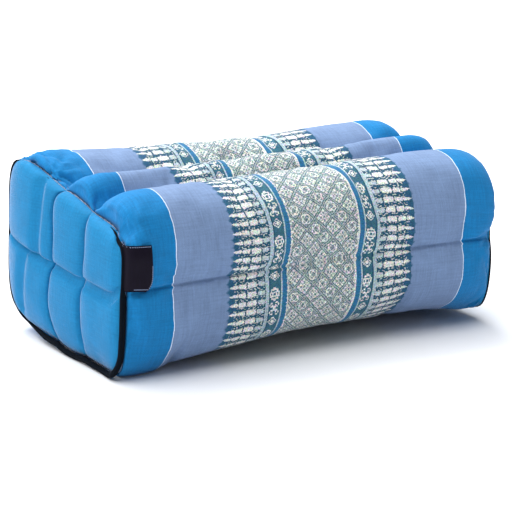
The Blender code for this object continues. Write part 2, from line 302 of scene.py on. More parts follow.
def half_through(offset, rise, height):
    """Half width of an ellipse of the given half height that passes the point (offset, rise)."""
    # The bounds keep the width finite.
    part = np.clip(rise / height, 0.01, 0.995)
    return offset / np.sqrt(1 - part**2)


BEYOND = 1e6


def channel(x, part, side, upper, s):
    """Points of one channel at x, with part from 0 to 1 between its two sewn lines.

    Midway the channel is an ellipse. Towards the ends it shrinks, as a quarter superellipse of x,
    to the rounded rectangle of the end panel's outline.
    """
    front, back = along_table(VALLEYS, x, "front"), along_table(VALLEYS, x, "back")
    inward = np.clip(1 - (s.seam_x - np.abs(x)) / s.rounding, 0, 1)
    full = s.end_scallop + (1 - s.end_scallop) * (1 - inward**s.rounding_power) ** (1 / s.rounding_power)
    if upper:
        waist = s.top_waist * hump(x, 0, s.waist_half)
        centre_z = s.upper_centre
        crown, valley = s.crown - waist - centre_z, s.valley - waist - centre_z
        to_seam, to_panel = centre_z - s.mid_seam, along_table(ENDS, x, "top") - centre_z
    else:
        lift = s.front_lift * hump(x, s.lift_x, s.lift_half) if side < 0 else 0.0
        centre_z = s.lower_centre
        crown, valley = centre_z + s.base_sink - lift, centre_z - s.low_valley
        to_seam, to_panel = s.mid_seam - centre_z, centre_z - along_table(ENDS, x, "bottom")

    def sloped(rise, y):
        """Panel edge height at y: its top slopes up to the back, and so does its bottom behind the middle."""
        reached = np.clip(rise / to_panel, 0, 1) * y / s.back_reach
        if upper:
            return rise + along_table(ENDS, x, "top_slope") * reached
        return rise - along_table(ENDS, x, "back_rise") * np.maximum(reached, 0)

    if side == 0:
        half = (back - front) / 2
        reach = half_through(half, valley, crown)
        start = np.arctan2(valley, -half)
        angle = start + (np.pi - 2 * start) * part
        across, rise = superellipse(angle, reach, reach, crown, crown, 2)
        y = (front + back) / 2 + across
        edge_rise = sloped(to_panel, y)
    else:
        inner = side * (front if side < 0 else back)
        less = 0 if upper else s.lower_less
        outer = (s.front_reach if side < 0 else s.back_reach) - less
        centre = (inner + outer) / 2
        reach = outer - centre
        at_seam = reach - s.mid_depth + less
        below = half_through(to_seam, at_seam, reach)
        inside = half_through(centre - inner, valley, crown)
        start = np.arctan2(-to_seam, at_seam)
        angle = start + (np.arctan2(valley, inner - centre) - start) * part
        across, rise = superellipse(angle, reach, inside, crown, below, 2)
        edge = along_table(ENDS, x, "front" if side < 0 else "back") - centre
        # Only the outer upper quarter of the outline counts, so its other two half sizes are out of reach.
        edge_across, edge_rise = superellipse(angle, edge, BEYOND, to_panel, BEYOND, s.panel_power)
        edge_across = np.maximum(edge_across, inner - centre)
        edge_rise = sloped(edge_rise, side * (centre + edge_across))
        y = side * (centre + edge_across + full * (across - edge_across))
    z = centre_z + (1 if upper else -1) * (edge_rise + full * (rise - edge_rise))
    left, right = np.clip(-x / s.seam_x, 0, 1), np.clip(x / s.seam_x, 0, 1)
    z = np.maximum(z, 0) * (1 + (s.left_tilt * left * y / s.back_reach + s.right_rise * right**2) / s.crown)
    return np.stack(np.broadcast_arrays(x, y, z), axis=-1)


def pulled_in(points, s):
    """Points near each pucker drawn in towards the middle of the section, less with distance as a bell curve."""
    for row in PUCKERS:
        away = points - np.array((row["x"], row["y"], row["z"]))
        near = np.exp(-(away**2).sum(axis=-1, keepdims=True) / (2 * row["reach"] ** 2))
        inward = np.array((0, -row["y"], s.mid_seam - row["z"]))
        points = points + row["depth"] * near * inward / np.linalg.norm(inward)
    return points


def cornered(points, s):
    """Points of the left end's front corner moved out along x, by a power curve of y that fades to the middle."""
    forward = ramp(points[..., 1], s.corner_from, s.corner_to) ** s.corner_power
    near_end = np.clip((-points[..., 0] - s.seam_x + s.rounding) / s.rounding, 0, 1) ** s.corner_power
    points = points.copy()
    points[..., 0] -= s.corner_out * forward * near_end
    return points


def crowded(steps):
    """Steps from 0 to 1 that lie closer together near both ends."""
    even = np.linspace(0, 1, steps + 1)
    return even - 0.6 * np.sin(2 * np.pi * even) / (2 * np.pi)


def wrap_surface(x, corner_steps, s):
    """The wrap as arrays: points (x, round, 3), cloth distance round it and distance to the nearest sewn line.

    Rows are sections at the given x. Columns run once round, from the front lower sewn line up the front.
    """
    x = np.asarray(x, float).reshape(-1, 1)
    points, along, to_line, start = [], [], [], 0.0
    for row in CHANNELS:
        steps = corner_steps // 2 if row["side"] == 0 else corner_steps
        part = crowded(steps)
        run = channel(x, part, row["side"], row["upper"], s)
        middle = channel(np.zeros((1, 1)), part, row["side"], row["upper"], s)[0]
        if row["backwards"]:
            run, middle = run[:, ::-1], middle[::-1]
        stepped = distance_along(middle)
        points.append(run[:, :-1])
        along.append(start + stepped[:-1])
        to_line.append(np.minimum(stepped, stepped[-1] - stepped)[:-1])
        start += stepped[-1]
    points = cornered(pulled_in(np.concatenate(points, axis=1), s), s)
    return points, np.concatenate(along + [[start]]), np.concatenate(to_line)


def outward(points):
    """Unit normals of a grid closed in its second direction: the cross product of its two central differences."""
    along = np.gradient(points, axis=0)
    around = np.roll(points, -1, axis=1) - np.roll(points, 1, axis=1)
    return unit(np.cross(along, around))


# ---------------------------------------------------------------- meshes


def grid_quads(rows, columns, closed=False):
    """Quads of a rows by columns grid; closed joins the last column to the first."""
    across = columns if closed else columns - 1
    i, j = np.meshgrid(np.arange(rows - 1), np.arange(across), indexing="ij")
    k = (j + 1) % columns
    a, b = i * columns, (i + 1) * columns
    return np.stack([a + j, a + k, b + k, b + j], axis=-1).reshape(-1, 4)


def ring_quads(one, other):
    """Quads between two closed rings of vertex numbers of the same length."""
    return np.stack([one, np.roll(one, -1), np.roll(other, -1), other], axis=-1)


def edge_ring(rows, columns):
    """Vertex numbers once round the edge of a grid."""
    index = np.arange(rows * columns).reshape(rows, columns)
    return np.concatenate([index[:-1, 0], index[-1, :-1], index[:0:-1, -1], index[0, :0:-1]])


def new_piece(name, points, quads, materials, uv=None):
    """A smooth mesh object at the origin from points in millimetres, with a UV map "weave" in millimetres."""
    mesh = bpy.data.meshes.new(name)
    mesh.from_pydata((np.asarray(points) * MILLIMETRE).tolist(), [], np.asarray(quads).tolist())
    if uv is not None:
        layer = mesh.uv_layers.new(name="weave")
        layer.data.foreach_set("uv", np.asarray(uv, np.float32).ravel())
    for item in materials:
        mesh.materials.append(item)
    mesh.shade_smooth()
    mesh.validate()
    made = bpy.data.objects.new(name, mesh)
    bpy.context.scene.collection.objects.link(made)
    return made


def panel_fill(loop, corner_steps):
    """Fills a closed outline, given from the front lower sewn line, with a grid by a Coons patch of its sides."""
    half = corner_steps // 2
    rows, columns = corner_steps, corner_steps + half
    loop = np.roll(loop, -half, axis=0)
    front = loop[: rows + 1]
    top = loop[rows : rows + columns + 1]
    back = loop[rows + columns : 2 * rows + columns + 1][::-1]
    bottom = np.concatenate([loop[2 * rows + columns :], loop[:1]])[::-1]
    v = np.linspace(0, 1, rows + 1)[:, None, None]
    u = np.linspace(0, 1, columns + 1)[None, :, None]
    corners = (1 - u) * (1 - v) * bottom[0] + u * (1 - v) * bottom[-1] + (1 - u) * v * top[0] + u * v * top[-1]
    return (1 - v) * bottom[None] + v * top[None] + (1 - u) * front[:, None] + u * back[:, None] - corners


def panel_ring(corner_steps):
    """Vertex numbers round the edge of a panel grid, in the order of the outline."""
    half = corner_steps // 2
    return np.roll(edge_ring(corner_steps + 1, corner_steps + half + 1), half)


def cells(corner_steps):
    """Height from 0 to 1 of an end panel's cells: superellipse pillows between its sewn lines, creased midway.

    The crease is a broad shallow fold, as the square of a ramp, plus a narrow bell curve.
    """
    half, columns = corner_steps // 2, corner_steps + corner_steps // 2
    power_across, power_up, roundness = 2.3, 4.6, 0.6
    broad, broad_half, narrow, narrow_half = 0.25, 0.30, 0.32, 0.04
    across = np.interp(np.arange(columns + 1), (0, half, 2 * half, columns), (0, 1, 2, 3))
    local = 2 * (across % 1) - 1
    local[-1] = 1
    up = np.linspace(-1, 1, corner_steps + 1)
    pillow = np.clip(1 - np.abs(local) ** power_across, 0, 1) ** roundness
    whole = np.clip(1 - np.abs(up) ** power_up, 0, 1) ** roundness
    crease = 1 - broad * np.clip(1 - np.abs(up) / broad_half, 0, 1) ** 2 - narrow * bell(up, narrow_half)
    return (whole * crease)[:, None] * pillow[None, :]


def creased(grid):
    """Depth of the left panel's extra creases: a bell curve of the distance from each crease's line."""
    depth = np.zeros(grid.shape[:2])
    for row in CREASES:
        start, end = np.array(row["start"]), np.array(row["end"])
        line = end - start
        part = np.clip(((grid[..., 1:] - start) @ line) / (line @ line), 0, 1)
        apart = np.linalg.norm(grid[..., 1:] - start - part[..., None] * line, axis=-1)
        depth = np.maximum(depth, row["depth"] * bell(apart, row["width"]))
    return depth


def seam_outline(side, corner_steps, s):
    """The end seam's outline and, at each point of it, the direction straight into it in the end's plane."""
    path = wrap_surface([side * s.seam_x], corner_steps, s)[0][0]
    return path, unit(np.cross(np.roll(path, -1, axis=0) - np.roll(path, 1, axis=0), (1.0, 0.0, 0.0)))


def panel_surface(side, sunk, corner_steps, s, t):
    """An end panel's outer surface, moved inward by a distance: the filled outline raised by its cells."""
    grid = panel_fill(seam_outline(side, corner_steps, s)[0], corner_steps)
    raised = t.bulge * cells(corner_steps)
    if side < 0:
        for row in BENDS:
            near_z = bell(grid[..., 2] - row["z"], row["reach_z"])
            grid[..., 1] += row["shift"] * near_z * bell(grid[..., 1] - row["y"], row["reach_y"])
        raised = np.maximum(raised - creased(grid), 0)
    grid[..., 0] += side * (raised - sunk)
    return grid


def quads_facing(quads, points, side):
    """The quads turned over where needed, so that a panel's faces look along x to its side."""
    a, b, c = (points[quads[:, k]] for k in range(3))
    turned = np.cross(b - a, c - b)[:, 0].sum() * side < 0
    return quads[:, ::-1] if turned else quads


# ---------------------------------------------------------------- stuffing

# Frames over which the cloth is blown out.
FRAMES = 20


def swollen(points, quads, pinned, spare, cap):
    """A closed grid's points once its cloth has been blown out from inside while the pinned points stay put.

    A cloth simulation without gravity. The cloth starts larger than its grid by the spare share, which puckers it
    at the pinned lines, and no point ends further than the cap from its start, in millimetres.
    """
    piece = new_piece("stuffing", points.reshape(-1, 3), quads, [])
    scene, mesh = bpy.context.scene, piece.data
    sewn = piece.vertex_groups.new(name="sewn")
    sewn.add(np.flatnonzero(pinned.ravel()).tolist(), 1.0, "REPLACE")
    cloth = piece.modifiers.new("cloth", "CLOTH")
    use = cloth.settings
    use.vertex_group_mass = "sewn"
    use.quality, use.mass = 6, 0.3
    use.tension_stiffness = use.compression_stiffness = 20
    use.shear_stiffness, use.bending_stiffness = 5, 0.2
    use.shrink_min = -spare
    use.use_pressure, use.uniform_pressure_force = True, 4
    use.effector_weights.gravity = 0
    cloth.point_cache.frame_end = FRAMES
    for number in range(1, FRAMES + 1):
        scene.frame_set(number)
    done = piece.evaluated_get(bpy.context.evaluated_depsgraph_get())
    after = np.empty(points.size)
    done.data.vertices.foreach_get("co", after)
    scene.frame_set(1)
    bpy.data.objects.remove(piece)
    bpy.data.meshes.remove(mesh)
    moved = after.reshape(points.shape) / MILLIMETRE - points
    far = np.linalg.norm(moved, axis=-1, keepdims=True)
    return points + moved * np.minimum(1, cap / np.maximum(far, 1e-6))


def spread(coarse, fine):
    """Matrix that reads values at the fine places off straight lines between the coarse ones."""
    return np.stack([np.interp(fine, coarse, row) for row in np.eye(len(coarse))], axis=-1)


def refined(moved, rows, columns):
    """A coarse grid's movements carried to a finer grid by two matrices, then evened out over the neighbours."""
    fine = np.einsum("ai,ijk,bj->abk", rows, moved, columns, optimize=True)
    for _ in range(2):
        inner = fine[1:-1, 1:-1] * 2 + fine[:-2, 1:-1] + fine[2:, 1:-1] + fine[1:-1, :-2] + fine[1:-1, 2:]
        fine[1:-1, 1:-1] = inner / 6
    return fine


# ---------------------------------------------------------------- the wrap

# Grid steps of one channel and sections along the wrap, first of the finished cloth and then of the simulated one.
WRAP_STEPS, WRAP_STATIONS, WRAP_END_STATIONS = 56, 220, 28
STUFFING_STEPS, STUFFING_STATIONS, STUFFING_END_STATIONS = 20, 92, 10
PANEL_STUFFING_STEPS = 28


def wrap_stations(count, near_ends, s):
    """Places along x of the wrap's sections: even midway and, as a quarter cosine, closer near the seams."""
    near = s.seam_x - s.rounding * (1 - np.cos(np.linspace(0, np.pi / 2, near_ends)))
    straight = s.seam_x - s.rounding
    middle = np.linspace(-straight, straight, count - 2 * near_ends + 2)
    return np.unique(np.round(np.concatenate([-near, middle, near]), 5))


def round_places(steps):
    """Places round the wrap of its grid's columns, one unit a channel, and the whole count of channels."""
    places = []
    for i, row in enumerate(CHANNELS):
        part = crowded(steps // 2 if row["side"] == 0 else steps)
        places.append(i + part[:-1])
    return np.concatenate(places + [[len(CHANNELS)]])


def stuffed_wrap(stations, s):
    """How far each point of the wrap's fine grid moves when the wrap is stuffed."""
    x = wrap_stations(STUFFING_STATIONS, STUFFING_END_STATIONS, s)
    points = wrap_surface(x, STUFFING_STEPS, s)[0]
    places = round_places(STUFFING_STEPS)
    rows, count = points.shape[:2]
    pinned = np.zeros((rows, count), bool)
    pinned[[0, -1]] = True
    # The sewn lines run the whole length, along both edges of every channel.
    pinned[:, np.isclose(places[:-1] % 1, 0)] = True
    on_floor = points[..., 2] < 0.2
    quads = grid_quads(rows, count, closed=True)[:, ::-1]
    moved = swollen(points, quads, pinned | on_floor, spare=0.03, cap=5.0) - points
    moved = np.concatenate([moved, moved[:, :1]], axis=1)
    fine = refined(moved, spread(x, stations), spread(places, round_places(WRAP_STEPS)))
    return fine[:, :-1]


def stuffed_panel(side, s, t):
    """How far each point of an end panel's fine grid moves when the panel is stuffed."""
    coarse = PANEL_STUFFING_STEPS
    grid = panel_surface(side, 0, coarse, s, t)
    rows, columns = grid.shape[:2]
    pinned = np.zeros((rows, columns), bool)
    pinned[[0, -1]] = True
    pinned[:, [0, coarse // 2, coarse, columns - 1]] = True
    quads = quads_facing(grid_quads(rows, columns), grid.reshape(-1, 3), side)
    moved = swollen(grid, quads, pinned, spare=0.004, cap=3.0) - grid
    up = spread(np.linspace(0, 1, coarse + 1), np.linspace(0, 1, WRAP_STEPS + 1))
    across = spread(np.linspace(0, 1, columns), np.linspace(0, 1, WRAP_STEPS + WRAP_STEPS // 2 + 1))
    fine = refined(moved, up, across)
    fine[[0, -1]] = 0
    fine[:, [0, -1]] = 0
    return fine


def settings(context):
    """The wrap's sizes and the trim's sizes, in millimetres, and the colours of the scene."""
    scene = context.scene
    sizes = [in_millimetres(group) for group in (scene.block_cushion_wrap, scene.block_cushion_trim)]
    return *sizes, scene.block_cushion_colours


def relief(x, along, to_line, s):
    """Height of the wrap's fine unevenness, in millimetres.

    Broad lumps of filling, plus gathers that run out from the sewn lines and the end seams and fade with distance,
    less a narrow bell-shaped groove along every sewn line.
    """
    line_start, line_reach, end_start, end_reach, end_share = 2.5, 8, 3, 14, 0.9
    groove_half, brocade_share, brocade_edge, plain_edge = 1.6, 0.4, 70, 90
    u, v = np.broadcast_arrays(x, along[None, :-1])
    line = np.broadcast_to(to_line[None, :], u.shape)
    from_end = s.seam_x - np.abs(u)
    height = np.zeros(u.shape)
    for row in LUMPS:
        noise = unevenness(u, v, row["along"], row["round"], row["seed"])
        height += row["share"] * s.lump * noise * ramp(from_end, 0, row["fade"])
    # Gathers are long and narrow, so their noise is stretched away from the line that they start at.
    line_folds = unevenness(u, v * 0.25, 7, 9, 21)
    height += s.gather * line_folds * rooted(line, line_start, line_reach)
    end_folds = gathered(unevenness(u * 0.2, v, 9, 6.5, 31))
    height += end_share * s.gather * end_folds * rooted(from_end, end_start, end_reach)
    # The brocade is stiffer, so its sewn lines sink less.
    softness = brocade_share + (1 - brocade_share) * ramp(np.abs(u), brocade_edge, plain_edge)
    return height - softness * s.groove * bell(line, groove_half) * ramp(from_end, 0, 4)


def fanned(points, u, v):
    """Height of the fans of folds: valleys at even angles about each fan's nearest point.

    They fade out with distance, and the point itself lies in a dimple.
    """
    dimple, dimple_reach, first_seed = 0.8, 3.5, 40
    height = np.zeros(points.shape[:2])
    for number, row in enumerate(FANS):
        away = np.linalg.norm(points - (row["x"], row["y"], row["z"]), axis=-1)
        i, j = np.unravel_index(away.argmin(), away.shape)
        du, dv = u - u[i, j], v - v[i, j]
        far, angle = np.hypot(du, dv), np.arctan2(dv, du)
        bent = unevenness(u, v, 9, 9, first_seed + number)
        wave = gathered(np.sin(0.5 * row["folds"] * angle + bent))
        fade = rooted(far, 4, row["reach"]) * (away < 4 * row["reach"])
        height += row["height"] * (fade * wave - dimple * bell(far, dimple_reach))
    return height


def wrap_skin(stations, cover, s):
    """The cloth's points and the distance round it: stuffed, then raised along its normals by its folds."""
    points, along, to_line = wrap_surface(stations, WRAP_STEPS, s)
    points = points + stuffed_wrap(stations, s)
    height = relief(stations[:, None], along, to_line, s)
    height += fanned(points, *np.broadcast_arrays(stations[:, None], along[None, :-1]))
    skin = points + outward(points) * height[..., None]
    skin[..., 2] = np.maximum(skin[..., 2], 0)
    # The seam rings stand back by the cover, so that a panel and the wrap stay apart.
    skin[0], skin[-1] = points[0], points[-1]
    skin[..., 0] *= 1 - cover / s.seam_x
    return skin, along


def wrap_map(stations, along):
    """Place of each face's corners on the cloth: u along the wrap and v round it, in millimetres."""
    lean, lower_out, lower_round = 0.07, 1.0, 3.1
    u = np.repeat(stations[:, None], len(along), axis=1)
    v = np.repeat(along[None, :], len(stations), axis=0)
    # The cloth of the upper front channel lies a little off the straight, and the lower one is a separate piece.
    lower = v < along[WRAP_STEPS]
    upper = (v >= along[WRAP_STEPS]) & (v < along[2 * WRAP_STEPS])
    v = v + lean * u * upper + lower_round * lower
    place = np.stack([u + lower_out * (v < along[WRAP_STEPS]), v], axis=-1)
    corners = [place[1:, :-1], place[1:, 1:], place[:-1, 1:], place[:-1, :-1]]
    return np.stack(corners, axis=2).reshape(-1, 2)


class OBJECT_OT_block_cushion_wrap(bpy.types.Operator):
    """Makes the stuffed wrap with its six channels"""

    bl_idname = "object.block_cushion_wrap"
    bl_label = "Wrap"

    def execute(self, context):
        s, t, colours = settings(context)
        cover, cap_depth = t.panel_thickness + t.cloth_gap, 3.0
        stations = wrap_stations(WRAP_STATIONS, WRAP_END_STATIONS, s)
        skin, along = wrap_skin(stations, cover, s)
        rows, count = skin.shape[:2]
        vertices, used = [skin.reshape(-1, 3)], rows * count
        quads = [grid_quads(rows, count, closed=True)[:, ::-1]]
        uv = [wrap_map(stations, along)]
        # A plain cap closes the wrap behind each end panel.
        for side, first in ((-1, 0), (1, (rows - 1) * count)):
            cap = panel_surface(side, cover + cap_depth, WRAP_STEPS, s, t)
            flat = cap.reshape(-1, 3)
            ring, seam = panel_ring(WRAP_STEPS) + used, first + np.arange(count)
            face = quads_facing(grid_quads(*cap.shape[:2]), flat, side) + used
            faces = np.concatenate([face, ring_quads(ring, seam)[:, ::side]])
            vertices.append(flat)
            quads.append(faces)
            uv.append(np.tile((side * BAND_REACH, 0.0), (faces.size, 1)))
            used += len(flat)
        parts = [np.concatenate(items) for items in (vertices, quads, uv)]
        piece = new_piece("wrap", parts[0], parts[1], [brocade_cotton(colours)], parts[2])
        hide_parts("cushion")
        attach(piece, "root")
        return {"FINISHED"}


# ---------------------------------------------------------------- the ends and their edging

EDGING_SIDES = 12


class OBJECT_OT_block_cushion_ends(bpy.types.Operator):
    """Makes the two quilted end panels"""

    bl_idname = "object.block_cushion_ends"
    bl_label = "End panels"

    def execute(self, context):
        s, t, colours = settings(context)
        cloth = plain_cotton(colours)
        for name, side in (("left", -1), ("right", 1)):
            outer = panel_surface(side, 0, WRAP_STEPS, s, t) + stuffed_panel(side, s, t)
            inner = outer - (side * t.panel_thickness, 0, 0)
            flat = np.concatenate([outer.reshape(-1, 3), inner.reshape(-1, 3)])
            count, ring = outer[..., 0].size, panel_ring(WRAP_STEPS)
            face = quads_facing(grid_quads(*outer.shape[:2]), flat, side)
            quads = np.concatenate([face, face[:, ::-1] + count, ring_quads(ring, ring + count)[:, ::side]])
            uv = flat[quads.ravel()][:, 1:]
            piece = new_piece("end_" + name, flat, quads, [cloth], uv)
            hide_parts("end_panel_" + name)
            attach(piece, "root")
        return {"FINISHED"}


def edging_and_shade_share(path, proud, s):
    """Share from 0 to 1 of the edging that shows along the seam.

    It stands out fully below the mid seam, eased in as a cubic and less towards the back, and by a share of that
    at the back and at the front. Up the front edge the thicker dark tape is partly painted shade, for the shade in
    the seam beside it, and at the front corner's pinch it bunches as a bell curve of the height, a dark lump that
    is painted shadow in the pinched hole. Elsewhere it is a thin line.
    """
    least, at_back, front_and_shade, shade_bunch, shade_pinch_height = 0.25, 0.45, 0.45, 0.25, 109
    y, z = path[:, 1], path[:, 2]
    low = ramp(z, s.mid_seam + 2, s.mid_seam - 8)
    low = low * low * (3 - 2 * low) * (least + (1 - least) * ramp(y, 60, 30))
    behind = at_back * ramp(y, 74, 84)
    # Painted shade: the dark tape is thickened up the front edge, partly for the seam's shade, and bunched at the
    # pinch for the shadow in its hole.
    corner = front_and_shade * ramp(y, -66, -72) + shade_bunch * bell(z - shade_pinch_height, 5) * (y < -60)
    return proud * np.maximum(low, np.maximum(behind, corner))


def edging_tube(path, inwards, side, shown, t):
    """Points (along, round, 3) of the edging, its middle line and the angles round it: circles square to the seam.

    The thickness grows with the share that shows, which up the front edge and at the corner's pinch is partly
    painted shade. So does the distance by which the tube stands below its seam and
    out from the end, which grows again near the floor. The tube never dips under the floor.
    """
    drop, out, out_below = 3.6, 0.5, 2.9
    under = ramp(path[:, 2], 18, 6)
    radius = (t.edging_thin + (t.edging_radius - t.edging_thin) * shown)[:, None]
    middle = path + inwards * (radius + t.edging_stand - drop * shown[:, None])
    middle[:, 0] += side * (t.edging_out + out * shown + out_below * under * shown)
    middle[:, 2] = np.maximum(middle[:, 2], radius[:, 0])
    angle = np.linspace(0, 2 * np.pi, EDGING_SIDES, endpoint=False)
    circle = inwards[:, None] * np.cos(angle)[None, :, None]
    circle = circle + np.array((1.0, 0, 0)) * np.sin(angle)[None, :, None]
    return middle[:, None] + radius[:, None] * circle, middle, angle


class OBJECT_OT_block_cushion_edging(bpy.types.Operator):
    """Makes the dark edging round both ends"""

    bl_idname = "object.block_cushion_edging"
    bl_label = "Edging"

    def execute(self, context):
        s, t, colours = settings(context)
        cloth = edging_tape(colours)
        # The right end's edging sinks deeper into its seam.
        for name, side, proud in (("left", -1, 1.0), ("right", 1, 0.3)):
            path, inwards = seam_outline(side, WRAP_STEPS, s)
            points, middle, angle = edging_tube(path, inwards, side, edging_and_shade_share(path, proud, s), t)
            rows, columns = points.shape[:2]
            first = np.arange(columns)
            joint = ring_quads(first + (rows - 1) * columns, first)
            quads = np.concatenate([grid_quads(rows, columns, closed=True), joint])[:, ::-1]
            # One turn round the cord counts as 10 mm of tape.
            u, v = np.meshgrid(np.degrees(angle) / 36, distance_along(middle))
            uv = np.stack([u.ravel(), v.ravel()], axis=-1)[quads.ravel()]
            piece = new_piece("edging_" + name, points.reshape(-1, 3), quads, [cloth], uv)
            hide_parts("piping_" + name)
            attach(piece, "root")
        return {"FINISHED"}


# ---------------------------------------------------------------- the label

RIBBON_STEPS, RIBBON_ROWS, RIBBON_HALF = 24, 36, 0.14
STITCH_STEPS, STITCH_SIDES = 7, 8
# How many stitches there are and half the length of each, along the upper edge and round the lower corner.
UPPER_STITCHES, CORNER_STITCHES = (12, 0.62), (22, 0.55)
# The ribbon's row and step between which the corner's stitches run.
CORNER_ROW, CORNER_STEP = 20, 8


def wrap_behind(x, z, s):
    """Points (x, z, 2) of the front upper channel, as x and y, at the given heights of the given sections."""
    part = np.linspace(0, 1, 400)
    found = []
    for station in x:
        front = cornered(channel(np.array(station), part, -1, True, s), s)
        found.append(np.stack([np.interp(z, front[:, 2], front[:, k]) for k in (0, 1)], axis=-1))
    return np.stack(found)


def folded_ribbon(s, t):
    """The label's middle surface, and its front layer alone: out from the seam, round the fold and back beneath.

    Each layer stands off the wrap by a fixed distance, plus a sine wave of the height, plus the square of the way
    out to the fold, plus a curl at the fold's lower corner as the squares of both.
    """
    stand, wave, lean, curl, apart = 0.7, 0.5, 1.4, 2.6, 0.55
    fold, sag, corner_high, corner_wide = 0.45, 0.9, 0.28, 0.32
    z = np.linspace(t.label_low, t.label_high, RIBBON_ROWS + 1)
    face = wrap_behind(np.linspace(t.label_near, t.label_far, RIBBON_STEPS + 1), z, s)
    out = np.linspace(0, 1, RIBBON_STEPS + 1)[:, None]
    rise = ramp(z, t.label_low, t.label_high)[None, :]
    stand = stand + wave * np.sin(np.pi * out) * np.sin(3 * np.pi * rise + 0.6)
    stand = stand + curl * out**2 * (1 - rise) ** 2 + lean * out**2
    # The fold's lower corner is rounded, as a quarter circle of the height.
    below = ramp(rise, corner_high, 0)
    shorter = (face[..., 0] - face[:1, :, 0]) * corner_wide * (1 - np.sqrt(1 - 0.98 * below**2))
    across, high = face[..., 0] - shorter, np.broadcast_to(z, stand.shape)
    front, back = (np.stack([across, face[..., 1] - stand - gap, high], axis=-1) for gap in (apart, 0))
    edge = (front[-1] + back[-1]) / 2 + (fold, 0.0, 0.0)
    middle = np.concatenate([front, edge[None], back[::-1]])
    # The lower edge sags more and more on its way round the fold.
    middle[..., 2] -= sag * np.sin(np.pi * np.linspace(0, 0.5, len(middle)))[:, None] * (1 - rise)
    return middle, front


def thickened(middle, half):
    """Points and outward quads of a closed sheet: the surface moved both ways along its normals, edges joined."""
    normal = unit(np.cross(np.gradient(middle, axis=0), np.gradient(middle, axis=1)))
    points = np.concatenate([(middle + normal * side).reshape(-1, 3) for side in (half, -half)])
    face, ring, count = grid_quads(*middle.shape[:2]), edge_ring(*middle.shape[:2]), len(points) // 2
    return points, np.concatenate([face[:, ::-1], face + count, ring_quads(ring, ring + count)])


def stitches_along(line, count, half):
    """Stitches set at even steps along a line of points: rods of a half length, tapered to rounded tips.

    The thickness along a rod is the square root of 1 less the fourth power of the way to its tip.
    """
    thickness, sunk, first = 0.34, 0.22, 0.02
    places = np.linspace(first, 1 - first, count)
    track = np.stack([np.interp(places, np.linspace(0, 1, len(line)), line[:, k]) for k in range(3)], axis=-1)
    direction, ahead = unit(np.gradient(track, axis=0)), np.array((0.0, -1.0, 0.0))
    sideways = unit(np.cross(ahead, direction))
    lengthwise = np.linspace(-1, 1, STITCH_STEPS)
    thick = thickness * np.sqrt(np.clip(1 - lengthwise**4, 0.02, 1))
    turn = np.linspace(0, 2 * np.pi, STITCH_SIDES, endpoint=False)[:, None]
    reach = direction[:, None, None] * (half * lengthwise)[:, None, None]
    ring = (ahead * np.cos(turn) + sideways[:, None, None] * np.sin(turn)) * thick[:, None, None]
    return track[:, None, None] + sunk * ahead + reach + ring


def stitch_quads(count):
    """Quads of a number of stitches: each is a tube closed at both ends by three quads."""
    each, side = STITCH_STEPS * STITCH_SIDES, grid_quads(STITCH_STEPS, STITCH_SIDES, closed=True)
    cap = np.array([(0, 1, 2, 3), (0, 3, 4, 7), (7, 4, 5, 6)])
    one = np.concatenate([side, cap[:, ::-1], cap + each - STITCH_SIDES])
    return np.concatenate([one + i * each for i in range(count)])


class OBJECT_OT_block_cushion_label(bpy.types.Operator):
    """Makes the bare folded ribbon label and the stitches along its top"""

    bl_idname = "object.block_cushion_label"
    bl_label = "Label"

    def execute(self, context):
        s, t, colours = settings(context)
        middle, front = folded_ribbon(s, t)
        points, quads = thickened(middle, RIBBON_HALF)
        run = np.cumsum(np.linalg.norm(np.gradient(middle, axis=0), axis=-1), axis=0)
        uv = np.tile(np.stack([run, middle[..., 2]], axis=-1).reshape(-1, 2), (2, 1))[quads.ravel()]
        piece = new_piece("ribbon_label", points, quads, [satin_ribbon(colours)], uv)
        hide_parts("label")
        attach(piece, "root")
        # Short stitches along the label's upper edge, and closer ones round its rounded lower corner.
        corner = np.concatenate([front[-1, CORNER_ROW:1:-1], front[:CORNER_STEP:-1, 1]])
        rows = stitches_along(front[:-1, -2], *UPPER_STITCHES), stitches_along(corner, *CORNER_STITCHES)
        rods = np.concatenate(rows)
        quads = stitch_quads(len(rods))
        stitches = new_piece("ribbon_stitches", rods.reshape(-1, 3), quads, [sewing_thread(colours)])
        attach(stitches, "root")
        return {"FINISHED"}


# ---------------------------------------------------------------- materials

# Sockets known by number: the Object output of a Texture Coordinate node, and of a Mix node the factor (0),
# the two values (2 and 3), the two colours (6 and 7) and the mixed colour (output 2).
OBJECT_PLACE, MIXED_COLOUR = 3, 2


def add(tree, kind, *values, output=0, inputs=None, stops=None, stepped=False, **options):
    """Adds a node, sets its options, ramp stops and inputs, links the sockets among them, and returns one output.

    The kind may name an operation after a colon, as in "Math:ADD".
    """
    kind, _, operation = kind.partition(":")
    node = tree.nodes.new("ShaderNode" + kind)
    if operation:
        node.operation = operation
    for name, value in options.items():
        setattr(node, name, value)
    if stops:
        steps = node.color_ramp
        steps.interpolation = "CONSTANT" if stepped else "LINEAR"
        for i, (place, value) in enumerate(stops if len(stops) > 1 else list(stops) + [(1.0, stops[0][1])]):
            stop = steps.elements[i] if i < 2 else steps.elements.new(place)
            stop.position, stop.color = place, value if hasattr(value, "__len__") else (value, value, value, 1)
    for key, value in list(enumerate(values)) + list((inputs or {}).items()):
        if isinstance(value, bpy.types.NodeSocket):
            tree.links.new(value, node.inputs[key])
        elif value is not None:
            node.inputs[key].default_value = value
    return node.outputs[output]


